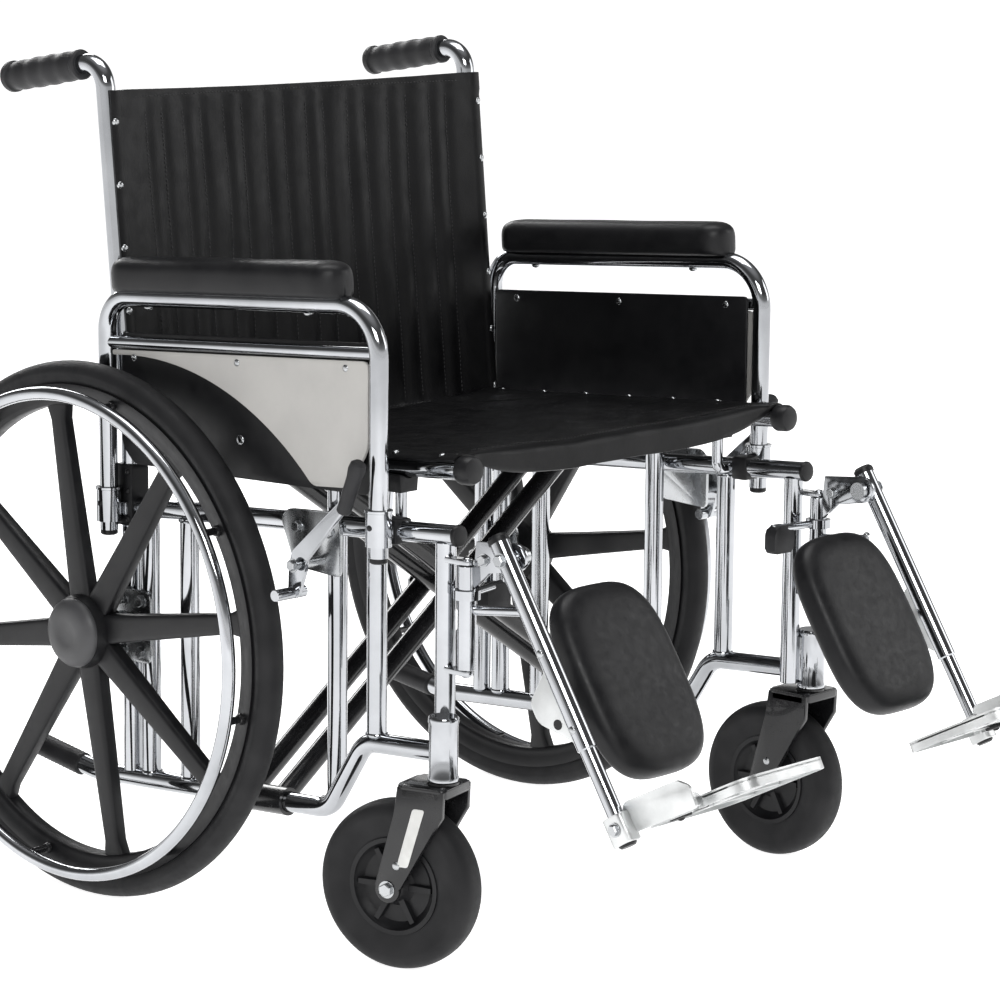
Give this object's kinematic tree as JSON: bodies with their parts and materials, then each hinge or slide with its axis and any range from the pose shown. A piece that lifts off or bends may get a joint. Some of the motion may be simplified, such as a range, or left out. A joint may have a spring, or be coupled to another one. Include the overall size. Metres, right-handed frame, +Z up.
{
  "type": "manual wheelchair",
  "caption": "Folding manual wheelchair with a chromed tube frame, removable full-length armrests, spoked moulded wheels and swing-away elevating legrests.",
  "frame": {"origin": "centre of the bounding box on the floor", "axes": "+Z up; -Y the way the seat faces; +X the occupant's left"},
  "size_m": [0.821, 1.1931, 0.9481],
  "materials": {
    "chrome_plate": "polished chrome plating",
    "zinc_steel": "bright zinc plating",
    "bare_aluminium": "satin cast",
    "black_paint": "semi-gloss black",
    "black_plastic": "fine-grained black",
    "grey_panel": "satin warm light grey",
    "black_rubber": "matt",
    "pad_foam": "moulded foam with a fine skin",
    "black_vinyl": "soft vinyl with a fine grain"
  },
  "bodies": {
    "right_frame": {"right_back_cane": "chrome_plate", "right_push_grip": "black_rubber", "right_upper_rail": "chrome_plate", "right_front_post": "chrome_plate", "right_mid_post": "chrome_plate", "right_seat_post": "chrome_plate", "right_rear_post": "chrome_plate", "right_lower_rail": "chrome_plate", "right_rear_axle": "zinc_steel", "right_lock_bracket": "zinc_steel", "back_sling": "black_vinyl"},
    "right_wheel": {"right_mag_wheel": "black_plastic", "right_rear_tyre": "black_rubber", "right_handrim": "chrome_plate"},
    "right_fork": {"right_caster_fork": "black_paint", "right_caster_axle": "zinc_steel"},
    "right_caster": {"right_caster_wheel": "black_plastic", "right_caster_tyre": "black_rubber"},
    "right_armrest": {"right_arm_frame": "chrome_plate", "right_arm_pad": "pad_foam", "right_arm_panel": "grey_panel", "right_arm_guard": "black_plastic"},
    "right_lock": {"right_lock_lever": "chrome_plate"},
    "right_hanger": {"right_legrest_hanger": "chrome_plate"},
    "right_latch": {"right_latch_lever": "zinc_steel"},
    "right_legrest": {"right_legrest_tube": "chrome_plate"},
    "right_calf": {"right_calf_pad": "black_vinyl"},
    "right_foot": {"right_footplate": "bare_aluminium"},
    "left_frame": {"left_back_cane": "chrome_plate", "left_push_grip": "black_rubber", "left_upper_rail": "chrome_plate", "left_front_post": "chrome_plate", "left_mid_post": "chrome_plate", "left_seat_post": "chrome_plate", "left_rear_post": "chrome_plate", "left_lower_rail": "chrome_plate", "left_rear_axle": "zinc_steel", "left_lock_bracket": "zinc_steel"},
    "left_wheel": {"left_mag_wheel": "black_plastic", "left_rear_tyre": "black_rubber", "left_handrim": "chrome_plate"},
    "left_fork": {"left_caster_fork": "black_paint", "left_caster_axle": "zinc_steel"},
    "left_caster": {"left_caster_wheel": "black_plastic", "left_caster_tyre": "black_rubber"},
    "left_armrest": {"left_arm_frame": "chrome_plate", "left_arm_pad": "pad_foam", "left_arm_panel": "grey_panel", "left_arm_guard": "black_plastic"},
    "left_lock": {"left_lock_lever": "chrome_plate"},
    "left_hanger": {"left_legrest_hanger": "chrome_plate"},
    "left_latch": {"left_latch_lever": "zinc_steel"},
    "left_legrest": {"left_legrest_tube": "chrome_plate"},
    "left_calf": {"left_calf_pad": "black_vinyl"},
    "left_foot": {"left_footplate": "bare_aluminium"},
    "brace_left_body": {"brace_left": "black_paint", "brace_bolt": "zinc_steel"},
    "brace_right_body": {"brace_right": "black_paint", "seat_sling": "black_vinyl"}
  },
  "joints": [
    {"name": "fold", "type": "hinge", "parent": "right_frame", "child": "brace_left_body", "pos_m": [-0.296, 0.06587, 0.13589], "axis": [0, -0.9981, 0.061], "range_deg": [0, 18], "deforming": ["back_sling"]},
    {"name": "fold_cross", "type": "hinge", "parent": "brace_left_body", "child": "brace_right_body", "pos_m": [0, 0.07802, 0.33458], "axis": [0, -0.9981, 0.061], "range_deg": [-36, 0], "deforming": ["seat_sling"]},
    {"name": "fold_left", "type": "hinge", "parent": "brace_right_body", "child": "left_frame", "pos_m": [0.296, 0.06587, 0.13589], "axis": [0, -0.9981, 0.061], "range_deg": [0, 18]},
    {"name": "right_wheel_spin", "type": "hinge", "parent": "right_frame", "child": "right_wheel", "pos_m": [-0.362, 0.293, 0.30353], "axis": [1, 0, 0], "continuous": true},
    {"name": "right_caster_swivel", "type": "hinge", "parent": "right_frame", "child": "right_fork", "pos_m": [-0.316, -0.212, 0.24], "axis": [0, 0, 1], "continuous": true},
    {"name": "right_caster_spin", "type": "hinge", "parent": "right_fork", "child": "right_caster", "pos_m": [-0.3281, -0.16348, 0.09121], "axis": [0.9703, 0.2419, 0], "continuous": true},
    {"name": "right_arm_lift", "type": "slide", "parent": "right_frame", "child": "right_armrest", "axis": [0, 0, 1], "range_m": [0, 0.15]},
    {"name": "right_lock_turn", "type": "hinge", "parent": "right_frame", "child": "right_lock", "pos_m": [-0.349, -0.029, 0.42], "axis": [1, 0, 0], "range_deg": [0, 17]},
    {"name": "right_legrest_swing", "type": "hinge", "parent": "right_frame", "child": "right_hanger", "pos_m": [-0.3, -0.229, 0.38], "axis": [0, 0, -1], "range_deg": [0, 100]},
    {"name": "right_latch_turn", "type": "hinge", "parent": "right_hanger", "child": "right_latch", "pos_m": [-0.3, -0.229, 0.409], "axis": [0, 0, -1], "range_deg": [0, 20]},
    {"name": "right_legrest_raise", "type": "hinge", "parent": "right_hanger", "child": "right_legrest", "pos_m": [-0.312, -0.295, 0.456], "axis": [-1, 0, 0], "range_deg": [0, 58]},
    {"name": "right_calf_tilt", "type": "hinge", "parent": "right_legrest", "child": "right_calf", "pos_m": [-0.205, -0.34311, 0.30919], "axis": [1, 0, 0], "range_deg": [-12, 12]},
    {"name": "right_footplate_flip", "type": "hinge", "parent": "right_legrest", "child": "right_foot", "pos_m": [-0.293, -0.45398, 0.20159], "axis": [0, -0.891, 0.454], "range_deg": [0, 88]},
    {"name": "left_wheel_spin", "type": "hinge", "parent": "left_frame", "child": "left_wheel", "pos_m": [0.362, 0.293, 0.30353], "axis": [1, 0, 0], "continuous": true},
    {"name": "left_caster_swivel", "type": "hinge", "parent": "left_frame", "child": "left_fork", "pos_m": [0.316, -0.212, 0.24], "axis": [0, 0, 1], "continuous": true},
    {"name": "left_caster_spin", "type": "hinge", "parent": "left_fork", "child": "left_caster", "pos_m": [0.316, -0.162, 0.09121], "axis": [1, 0, 0], "continuous": true},
    {"name": "left_arm_lift", "type": "slide", "parent": "left_frame", "child": "left_armrest", "axis": [0, 0, 1], "range_m": [0, 0.15]},
    {"name": "left_lock_turn", "type": "hinge", "parent": "left_frame", "child": "left_lock", "pos_m": [0.349, -0.029, 0.42], "axis": [1, 0, 0], "range_deg": [0, 17]},
    {"name": "left_legrest_swing", "type": "hinge", "parent": "left_frame", "child": "left_hanger", "pos_m": [0.3, -0.229, 0.38], "axis": [0, 0, 1], "range_deg": [0, 100]},
    {"name": "left_latch_turn", "type": "hinge", "parent": "left_hanger", "child": "left_latch", "pos_m": [0.3, -0.229, 0.409], "axis": [0, 0, 1], "range_deg": [0, 20]},
    {"name": "left_legrest_raise", "type": "hinge", "parent": "left_hanger", "child": "left_legrest", "pos_m": [0.312, -0.295, 0.456], "axis": [-1, 0, 0], "range_deg": [0, 58]},
    {"name": "left_calf_tilt", "type": "hinge", "parent": "left_legrest", "child": "left_calf", "pos_m": [0.205, -0.34311, 0.30919], "axis": [1, 0, 0], "range_deg": [-12, 12]},
    {"name": "left_footplate_flip", "type": "hinge", "parent": "left_legrest", "child": "left_foot", "pos_m": [0.293, -0.45398, 0.20159], "axis": [0, 0.891, -0.454], "range_deg": [0, 88]}
  ],
  "couplings": [
    {"joint": "fold_cross", "follows": "fold", "ratio": -2},
    {"joint": "fold_left", "follows": "fold", "ratio": 1}
  ]
}
